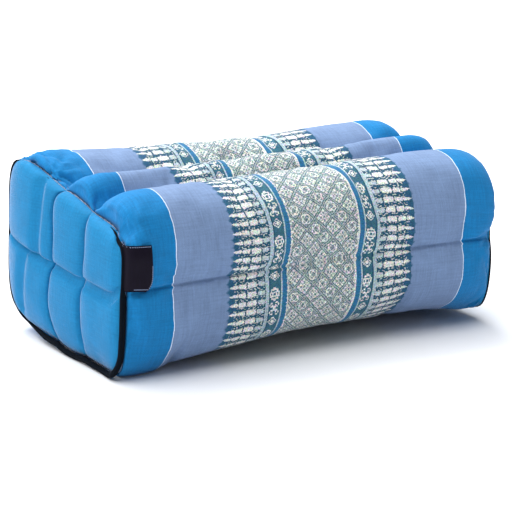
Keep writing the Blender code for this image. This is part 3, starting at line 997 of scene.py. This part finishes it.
def new_material(name, roughness, sheen=0.0, tint="#FFFFFF", sheen_roughness=0.35, specular=0.25):
    """A new material with its shader's own sockets set, its node tree and its shader."""
    made = bpy.data.materials.new(name)
    made.use_nodes = True
    shader = made.node_tree.nodes["Principled BSDF"]
    sockets = {"Roughness": roughness, "Specular IOR Level": specular, "Sheen Weight": sheen,
               "Sheen Roughness": sheen_roughness, "Sheen Tint": linear(tint)}
    for socket, value in sockets.items():
        shader.inputs[socket].default_value = value
    return made, made.node_tree, shader


def summed(tree, start, *fields):
    """The start plus each field times its weight."""
    for field, weight in fields:
        start = add(tree, "Math:MULTIPLY_ADD", field, weight, start)
    return start


def finished(tree, shader, paint, tone, height, strength, depth):
    """Links paint times tone to the shader's colour, and the height, of a depth in metres, to its normal."""
    shade = add(tree, "VectorMath:MULTIPLY", paint, add(tree, "CombineXYZ", *[tone] * 3))
    tree.links.new(shade, shader.inputs["Base Color"])
    bump = add(tree, "Bump", inputs={"Height": height, "Strength": strength, "Distance": depth})
    tree.links.new(bump, shader.inputs["Normal"])


def woven(tree, place, pitch):
    """Height from -1 to 1 of a plain weave, its pitch in millimetres: the product of a sine along each yarn."""
    turned = add(tree, "VectorMath:SCALE", place, inputs={3: 2 * math.pi / pitch})
    across = add(tree, "SeparateXYZ", turned)
    waves = [add(tree, "Math:SINE", across.node.outputs[k]) for k in (0, 1)]
    return add(tree, "Math:MULTIPLY", *waves)


def streaks(tree, place, along_u, along_v, detail=2.0):
    """Noise from 0 to 1 whose lumps measure the given millimetres along u and v."""
    scaled = add(tree, "VectorMath:MULTIPLY", place, (1 / along_u, 1 / along_v, 1.0))
    return add(tree, "TexNoise", scaled, inputs={"Scale": 1.0, "Detail": detail})


def charted(tree, rows, row, column):
    """1 where a chart has a cross: each row is a stepped ramp over the columns, kept where the row matches."""
    total = 0.0
    for i, line in enumerate(rows):
        starts = [j for j in range(len(line)) if j == 0 or line[j] != line[j - 1]]
        stops = [(j / len(line), float(line[j] == "x")) for j in starts]
        crosses = add(tree, "ValToRGB", column, stops=stops, stepped=True)
        total = add(tree, "Math:MULTIPLY_ADD", crosses, add(tree, "Math:COMPARE", row, i + 0.5, 0.5), total)
    return total


def painted(tree, base, layers):
    """The base colour with each layer's colour mixed over it where its mask is 1."""
    for mask, paint in layers:
        base = add(tree, "Mix", inputs={0: mask, 6: base, 7: paint}, output=MIXED_COLOUR, data_type="RGBA")
    return base


# Bands of the wrap, from the middle out to each end: where each begins, in millimetres, and its colour.
BANDS = (
    (0.0, "cream"),
    (32.0, "strip"),
    (36.8, "line"),
    (37.9, "navy"),
    (38.6, "teal"),
    (47.4, "navy"),
    (48.2, "line"),
    (49.4, "lattice"),
    (49.8, "line"),
    (51.4, "navy"),
    (84.0, "slub"),
    (133.3, "stripe"),
    (134.3, "blue"),
)
BAND_REACH = 160.0
# Distances from the middle at which the field and the blue yarns end, the borders' ornament, the dashed bands and
# their dark blocks begin, and the rows' tips and the brocade end.
FIELD_END, BORDER_START, DASHES_START, DASHES_END = 32.6, 38.9, 51.4, 80.0
BLUE_YARNS_END, BLOCKS_START, TIPS, BROCADE_END = 59.0, 78.5, 82.6, 84.0

# Size of a lattice cell, and the lattice's darkness from its lines outwards, in parts of the reach.
CELL_WIDE, CELL_HIGH = 17.0, 16.0
LATTICE_REACH = 6.0
LATTICE = (
    (0.0, 0.5), (0.05, 0.5), (0.08, 1.0), (0.20, 1.0), (0.24, 0.0), (0.32, 0.05), (0.36, 0.7), (0.44, 0.7),
    (0.48, 0.0), (0.58, 0.0), (0.62, 0.65), (0.70, 0.65), (0.74, 0.0),
)
# Quarter charts of the two flowers in the lattice cells, from the middle outwards.
STAR_FLOWER = ("xx..xx", "x.x.x.", ".xx.x.", "...x..", "xxx...", "x.....")
ROUND_FLOWER = ("x.xx..", ".x..x.", "x.x.xx", "x..xx.", ".xx...", "......")
FLOWER_STITCH, FLOWER_REACH = 0.95, 6.3

# One repeat of the borders' ornament: stepped diamond, ram's horns and rosette, read along the border.
BORDER = (
    "....x......xx....xx.....xxxx.......",
    "...x.x....x..x..x..x..xxx..xxx.....",
    "..x.x.x...x.xx..xx.x..x.xxxx.x.....",
    ".x.xxx.x.....xxxx....xx.x..x.xx....",
    ".x.xxx.x.....xxxx....xx.x..x.xx....",
    "..x.x.x...x.xx..xx.x..x.xxxx.x.....",
    "...x.x....x..x..x..x..xxx..xxx.....",
    "....x......xx....xx.....xxxx.......",
)
BORDER_STITCH = 1.05

# Cream rows of the dashed bands: each distance from the middle with half their height there, then their pitch.
DASHES = (
    (52.2, 0.0), (52.8, 1.7), (57.8, 1.7), (58.1, 0.0),
    (59.3, 0.0), (59.6, 2.0), (64.0, 2.2), (68.0, 2.1), (68.3, 0.0),
    (69.5, 0.0), (69.8, 1.9), (75.8, 1.6), (76.2, 0.2), (76.8, 0.2), (77.2, 1.4), (81.6, 1.1), (84.6, 0.0),
)
DASH_PITCH = 7.4


def lattice_field(tree, cloth, u, v):
    """Darkness from 0 to 1 of the lattice and of the flower in each of its cells.

    The lattice follows the distance in millimetres to the nearer of two families of slanting lines. The flowers
    are charts read from the middle of a cell outwards, and the two kinds take turns.
    """
    node = partial(add, tree)
    along_u, along_v = node("Math:DIVIDE", u, CELL_WIDE), node("Math:DIVIDE", v, CELL_HIGH)
    slants = [node("Math:" + turn, along_u, along_v) for turn in ("ADD", "SUBTRACT")]
    to_line = node("Math:MINIMUM", *[node("Math:PINGPONG", slanted, 0.5) for slanted in slants])
    to_line = node("Math:DIVIDE", to_line, math.hypot(1 / CELL_WIDE, 1 / CELL_HIGH))
    lattice = node("ValToRGB", node("Math:DIVIDE", to_line, LATTICE_REACH), stops=LATTICE)
    inside = [node("Math:SUBTRACT", node("Math:FRACT", slanted), 0.5) for slanted in slants]
    across, row = [
        node("Math:ABSOLUTE", node("Math:MULTIPLY", node("Math:" + turn, *inside), size / 2 / FLOWER_STITCH))
        for turn, size in (("ADD", CELL_WIDE), ("SUBTRACT", CELL_HIGH))
    ]
    column = node("Math:DIVIDE", across, float(len(STAR_FLOWER[0])))
    kinds = [charted(tree, chart, row, column) for chart in (STAR_FLOWER, ROUND_FLOWER)]
    odd = node("Math:FLOORED_MODULO", node("Math:FLOOR", slants[0]), 2.0)
    flower = node("Mix", inputs={0: odd, 2: kinds[0], 3: kinds[1]})
    near = node("Math:LESS_THAN", node("Math:ADD", row, across), FLOWER_REACH)
    near = node("Math:MULTIPLY", near, node("Math:GREATER_THAN", to_line, 1.6))
    lattice = node("Math:MULTIPLY", lattice, node("Math:SUBTRACT", 1.0, near))
    flower = node("Math:MULTIPLY", node("Math:MULTIPLY", flower, near), 0.85)
    # Dark yarns are worn through in specks.
    speck = node("TexNoise", cloth, inputs={"Scale": 0.75, "Detail": 2.0})
    speck = node("ValToRGB", speck, stops=[(0.36, 0.0), (0.66, 1.0)])
    return node("Math:MULTIPLY", node("Math:MAXIMUM", lattice, flower), summed(tree, 1.15, (speck, -0.5)))


def border(tree, a, v):
    """1 on the borders' ornament: the chart's rows run across the border and its columns along it."""
    node = partial(add, tree)
    row = node("Math:DIVIDE", node("Math:SUBTRACT", a, BORDER_START), BORDER_STITCH)
    column = node("Math:FRACT", node("Math:DIVIDE", v, len(BORDER[0]) * BORDER_STITCH))
    return charted(tree, BORDER, row, column)


def dashed_bands(tree, cloth, a, v):
    """Masks of the dashed bands: the dark blocks' ends, small floats, the cream rows and the blue yarns in them.

    A row is cream wherever the distance to its middle line is under the table's half height. Each row has its own
    shift along the table and a ragged edge.
    """
    node = partial(add, tree)
    row_at = node("Math:DIVIDE", v, DASH_PITCH)
    jitter = node("TexWhiteNoise", inputs={"W": node("Math:ROUND", row_at)}, noise_dimensions="1D")
    from_row = node("Math:MULTIPLY", node("Math:PINGPONG", row_at, 0.5), DASH_PITCH)
    # The table is read over 100 mm, and its half heights are given to the ramp in parts of 3 mm.
    out = node("Math:DIVIDE", node("Math:ADD", a, summed(tree, -0.45, (jitter, 0.9))), 100.0)
    half = node("ValToRGB", out, stops=[(at / 100, height / 3) for at, height in DASHES])
    ragged = summed(tree, -0.35, (streaks(tree, cloth, 1 / 0.45, 1 / 1.1, 1.0), 0.7))
    within = node("Math:SUBTRACT", node("Math:MULTIPLY_ADD", half, 3.0, ragged), from_row)
    soft = node("Math:MULTIPLY_ADD", within, 2.2, 0.5, use_clamp=True)
    rows = node("Math:MULTIPLY", soft, node("Math:GREATER_THAN", half, 0.02))
    # Next to the border the rows have blue yarns among the cream ones.
    inner = node("Math:MULTIPLY", node("Math:MULTIPLY", rows, 0.7), node("Math:LESS_THAN", a, BLUE_YARNS_END))
    # Small floats show between the rows too.
    floats = node("ValToRGB", streaks(tree, cloth, 1 / 0.55, 1 / 0.85, 0.0), stops=[(0.58, 0.0), (0.66, 0.75)])
    here = node("Math:MULTIPLY", node("Math:GREATER_THAN", a, DASHES_START), node("Math:LESS_THAN", a, DASHES_END))
    floats = node("Math:MULTIPLY", floats, here)
    # The dark blocks between the rows run a little past the cream tips and fade into the plain cloth.
    tip = summed(tree, TIPS, (from_row, 0.7), (jitter, 1.5))
    fade = node("Math:DIVIDE", node("Math:SUBTRACT", tip, a), 2.0)
    started = node("Math:GREATER_THAN", a, BLOCKS_START)
    fade = node("Math:MULTIPLY", node("Math:ADD", fade, 0.5, use_clamp=True), started)
    return fade, floats, rows, inner


def brocade_cotton(colours):
    """Woven cotton with a band of brocade: matt, slightly furry at grazing angles, with raised cream floats."""
    made, tree, shader = new_material("woven_cotton_brocade", 0.85, 0.18, "#DCE4FA")
    node = partial(add, tree)
    cloth = node("UVMap", uv_map="weave")
    # Noise over the cloth, by its lumps in a millimetre: three that give colours and three that give values.
    loose, fine, tint = [node("TexNoise", cloth, inputs={"Scale": scale, "Detail": detail}, output=1)
                         for scale, detail in ((0.11, 2.0), (0.8, 1.0), (0.55, 1.0))]
    mottle, grain, nubs = [node("TexNoise", cloth, inputs={"Scale": scale, "Detail": detail})
                           for scale, detail in ((0.05, 3.0), (0.7, 1.0), (1.1, 1.0))]
    # Rows woven by hand wander by part of a millimetre.
    shift = node("VectorMath:MULTIPLY_ADD", loose, (2.0, 2.0, 0.0), (-1.3, -1.8, 0.0))
    shift = node("VectorMath:MULTIPLY_ADD", fine, (1.6, 1.6, 0.0), shift)
    place = node("VectorMath:ADD", cloth, shift)
    u = node("SeparateXYZ", place)
    v = u.node.outputs[1]
    a = node("Math:ABSOLUTE", u)
    # The bands' own edges wander less.
    straight = node("SeparateXYZ", node("VectorMath:MULTIPLY_ADD", loose, (1.2, 0.0, 0.0), cloth))
    straight = node("Math:ABSOLUTE", node("Math:SUBTRACT", straight, 0.6))
    base = node("ValToRGB", node("Math:DIVIDE", straight, BAND_REACH), stepped=True,
                stops=[(start / BAND_REACH, tuple(getattr(colours, name))) for start, name in BANDS])
    # The lattice ends in small teeth beside the blue line.
    in_field = node("Math:LESS_THAN", node("Math:ADD", a, node("Math:PINGPONG", v, 1.6)), FIELD_END)
    in_lattice = node("Math:LESS_THAN", a, FIELD_END - 1.2)
    hatch = node("Math:MULTIPLY", lattice_field(tree, cloth, u, v), in_lattice, use_clamp=True)
    ornament = border(tree, a, v)
    fade, floats, rows, inner = dashed_bands(tree, cloth, a, v)
    layers = ((in_field, "cream"), (hatch, "lattice"), (ornament, "cream"), (fade, "indigo"), (floats, "cream"),
              (rows, "cream"), (inner, "line"))
    paint = painted(tree, base, [(mask, tuple(getattr(colours, name))) for mask, name in layers])
    # Faint pink, yellow and green in the brocade's cream yarns, which have small nubs.
    tint = node("VectorMath:MULTIPLY_ADD", tint, (1.1, 0.75, 1.0), (0.44, 0.62, 0.5))
    tint = node("VectorMath:MULTIPLY", tint, node("CombineXYZ", *[summed(tree, 0.06, (nubs, 1.8))] * 3))
    in_brocade = node("Math:LESS_THAN", a, BROCADE_END)
    tint = painted(tree, (1, 1, 1, 1), [(in_brocade, tint)])
    # Uneven yarns give faint streaks along the length and weaker ones across.
    long_streak, cross_streak = streaks(tree, cloth, 1.3, 22.0), streaks(tree, cloth, 26.0, 1.5)
    tone = summed(tree, 0.33, (cross_streak, 0.36), (long_streak, 0.44), (mottle, 0.28), (grain, 0.26))
    # The yarns are a third of a millimetre, too fine to show, so the weave is drawn at 1.6 mm.
    raised = node("Math:MAXIMUM", rows, node("Math:MAXIMUM", ornament, node("Math:SUBTRACT", in_field, hatch)))
    height = summed(tree, 0.0, (woven(tree, place, 1.6), 0.5), (raised, 1.2), (long_streak, 0.8))
    finished(tree, shader, node("VectorMath:MULTIPLY", paint, tint), tone, height, 0.5, 0.0003)
    return made


def plain_cotton(colours):
    """Plain woven cotton: matt and even, with a soft pale sheen where it turns away."""
    made, tree, shader = new_material("plain_woven_cotton", 0.8, 0.8, "#E6E6FC", 0.2)
    cloth = add(tree, "UVMap", uv_map="weave")
    mottle, grain = [add(tree, "TexNoise", cloth, inputs={"Scale": scale, "Detail": detail})
                     for scale, detail in ((0.06, 3.0), (0.7, 1.0))]
    long_streak, cross_streak = streaks(tree, cloth, 1.2, 14.0), streaks(tree, cloth, 14.0, 1.2)
    tone = summed(tree, 0.38, (cross_streak, 0.34), (long_streak, 0.34), (mottle, 0.24), (grain, 0.3))
    # The yarns are a third of a millimetre, too fine to show, so the weave is drawn at 1.6 mm.
    height = add(tree, "Math:MULTIPLY_ADD", woven(tree, cloth, 1.6), 0.5, long_streak)
    finished(tree, shader, tuple(colours.panel_blue)[:3], tone, height, 0.5, 0.0004)
    return made


def ribs(tree, place, axis, pitch):
    """Slanting ribs of a pitch in the place's own unit: a sine wave of its x plus another of its axes."""
    split = add(tree, "SeparateXYZ", place)
    slanted = add(tree, "Math:ADD", split, split.node.outputs[axis])
    return add(tree, "Math:SINE", add(tree, "Math:MULTIPLY", slanted, 2 * math.pi / pitch))


def edging_tape(colours):
    """Cotton tape woven in twill and folded over a cord: dull near-black with fine slanting ribs."""
    made, tree, shader = new_material("twill_cotton_tape", 0.9, specular=0.1)
    cloth = add(tree, "UVMap", uv_map="weave")
    # Ribs slant across the tape, one each 1.5 mm so that they show.
    rib = ribs(tree, cloth, 1, 1.5)
    worn = add(tree, "TexNoise", cloth, inputs={"Scale": 0.3, "Detail": 3.0})
    tone = summed(tree, 0.3, (rib, 0.2), (worn, 1.4))
    finished(tree, shader, tuple(colours.edging)[:3], tone, rib, 0.5, 0.0003)
    return made


def satin_ribbon(colours):
    """Polyester satin ribbon: nearly black, smooth, with a soft streaked gloss along its yarns."""
    made, tree, shader = new_material("polyester_satin_ribbon", 0.6, specular=0.12)
    streak = streaks(tree, add(tree, "UVMap", uv_map="weave"), 0.8, 12.0)
    finished(tree, shader, tuple(colours.label)[:3], summed(tree, 0.5, (streak, 1.0)), streak, 0.3, 0.0002)
    return made


def sewing_thread(colours):
    """Twisted polyester sewing thread: a little glossy, with slanting plies."""
    made, tree, shader = new_material("twisted_polyester_thread", 0.5, 0.2)
    # Plies turn once a millimetre.
    ply = ribs(tree, add(tree, "TexCoord", output=OBJECT_PLACE), 2, MILLIMETRE)
    finished(tree, shader, tuple(colours.thread)[:3], summed(tree, 0.9, (ply, 0.15)), ply, 0.4, 0.0002)
    return made


def matt_paper():
    """Seamless studio paper: white and matt with the faintest mottling."""
    made, tree, shader = new_material("matt_white_paper", 0.95)
    place = add(tree, "TexCoord", output=OBJECT_PLACE)
    mottle = add(tree, "TexNoise", place, inputs={"Scale": 3.0, "Detail": 2.0})
    shade = add(tree, "ValToRGB", mottle, stops=[(0.3, linear("#E8EAEE")), (0.7, linear("#ECEEF2"))])
    tree.links.new(shade, shader.inputs["Base Color"])
    return made


# ---------------------------------------------------------------- stage

FLOOR_HALF, FLOOR_DROP = 4000, 0.2
# The key is a wide far lamp, so that the floor is lit evenly. Its width is in degrees, and the rim's in metres.
LAMPS = table(
    "name kind azimuth elevation width power",
    ("key", "SUN", -118, 66, 85, 4.4),
    ("rim", "AREA", 170, 55, 1.0, 28),
)
LAMP_AWAY, LAMP_AIM = 1.8, Vector((0, 0, 0.07))
SURROUNDINGS = 0.27
# The camera's direction and roll in degrees, its lens in millimetres, and its distance and aim in metres.
CAMERA = {"azimuth": -34.0, "elevation": 15.2, "roll": -1.7, "lens": 216.0, "sensor": 36.0, "away": 2.4}
CAMERA_AIM, AIM_DOWN, AIM_RIGHT = Vector((0, 0, 0.064)), 0.00828, 0.00086


def direction(azimuth, elevation):
    """Unit vector towards a place seen at an azimuth, turned from the front, and an elevation, in degrees."""
    a, e = math.radians(azimuth), math.radians(elevation)
    return Vector((math.sin(a) * math.cos(e), -math.cos(a) * math.cos(e), math.sin(e)))


def studio_world():
    """White surroundings of an even low strength."""
    world = bpy.data.worlds.new("studio")
    world.use_nodes = True
    background = world.node_tree.nodes["Background"]
    background.inputs["Color"].default_value = linear("#FFFFFF")
    background.inputs["Strength"].default_value = SURROUNDINGS
    return world


def lamp(row):
    """A lamp that looks at the cushion from its row's direction."""
    light = bpy.data.lights.new(row["name"], row["kind"])
    light.energy = row["power"]
    if row["kind"] == "SUN":
        light.angle = math.radians(row["width"])
    else:
        light.size = row["width"]
    holder = bpy.data.objects.new(row["name"], light)
    away = direction(row["azimuth"], row["elevation"])
    holder.location = away * LAMP_AWAY + LAMP_AIM
    holder.rotation_euler = away.to_track_quat("Z", "Y").to_euler()
    return holder


def aimed_camera():
    """The camera, looking back along its direction and rolled about it, with its aim moved in its own plane."""
    camera = bpy.data.cameras.new("camera")
    camera.lens, camera.sensor_width = CAMERA["lens"], CAMERA["sensor"]
    holder = bpy.data.objects.new("camera", camera)
    away, roll = direction(CAMERA["azimuth"], CAMERA["elevation"]), math.radians(CAMERA["roll"])
    right = (-away).cross(Vector((0, 0, 1))).normalized()
    up = right.cross(-away)
    turned_right = math.cos(roll) * right - math.sin(roll) * up
    turned_up = math.cos(roll) * up + math.sin(roll) * right
    matrix = Matrix((turned_right, turned_up, away)).transposed().to_4x4()
    matrix.translation = CAMERA_AIM - up * AIM_DOWN + right * AIM_RIGHT + away * CAMERA["away"]
    holder.matrix_world = matrix
    return holder


class OBJECT_OT_block_cushion_stage(bpy.types.Operator):
    """Makes the floor, the lights and the camera"""

    bl_idname = "object.block_cushion_stage"
    bl_label = "Stage"

    def execute(self, context):
        scene = context.scene
        # The floor lies just under the cushion, so that the two don't share a plane.
        corners = [(x * FLOOR_HALF, y * FLOOR_HALF, -FLOOR_DROP) for x, y in ((-1, -1), (1, -1), (1, 1), (-1, 1))]
        floor = new_piece("floor", corners, [(0, 1, 2, 3)], [matt_paper()])
        scene.world = studio_world()
        scene.view_settings.view_transform = "Standard"
        camera = aimed_camera()
        for holder in [lamp(row) for row in LAMPS] + [camera]:
            scene.collection.objects.link(holder)
        scene.camera = camera
        return {"FINISHED"}


# ---------------------------------------------------------------- panel and registering


class VIEW3D_PT_block_cushion(bpy.types.Panel):
    """Lists the pieces and their sizes"""

    bl_idname = "VIEW3D_PT_block_cushion"
    bl_label = "Block Cushion"
    bl_space_type = "VIEW_3D"
    bl_region_type = "UI"
    bl_category = "Block Cushion"

    def draw(self, context):
        for operator in OPERATORS:
            self.layout.operator(operator.bl_idname)
        for group, _ in GROUPS:
            column = self.layout.column()
            values = getattr(context.scene, group)
            for name in values.__annotations__:
                column.prop(values, name)


GROUPS = (
    ("block_cushion_wrap", WrapSizes),
    ("block_cushion_trim", TrimSizes),
    ("block_cushion_colours", ClothColours),
)
OPERATORS = (
    OBJECT_OT_block_cushion_wrap,
    OBJECT_OT_block_cushion_ends,
    OBJECT_OT_block_cushion_edging,
    OBJECT_OT_block_cushion_label,
    OBJECT_OT_block_cushion_stage,
)


def register():
    """Registers the classes and hangs the groups on the scene."""
    for kind in [group for name, group in GROUPS] + list(OPERATORS) + [VIEW3D_PT_block_cushion]:
        bpy.utils.register_class(kind)
    for name, group in GROUPS:
        setattr(bpy.types.Scene, name, PointerProperty(type=group))


def unregister():
    """Undoes register."""
    for name, group in GROUPS:
        delattr(bpy.types.Scene, name)
    for kind in [VIEW3D_PT_block_cushion] + list(OPERATORS) + [group for name, group in GROUPS]:
        bpy.utils.unregister_class(kind)


def main():
    """Makes every piece and the stage."""
    register()
    bpy.ops.object.block_cushion_wrap()
    bpy.ops.object.block_cushion_ends()
    bpy.ops.object.block_cushion_edging()
    bpy.ops.object.block_cushion_label()
    bpy.ops.object.block_cushion_stage()


if __name__ == "__main__":
    main()
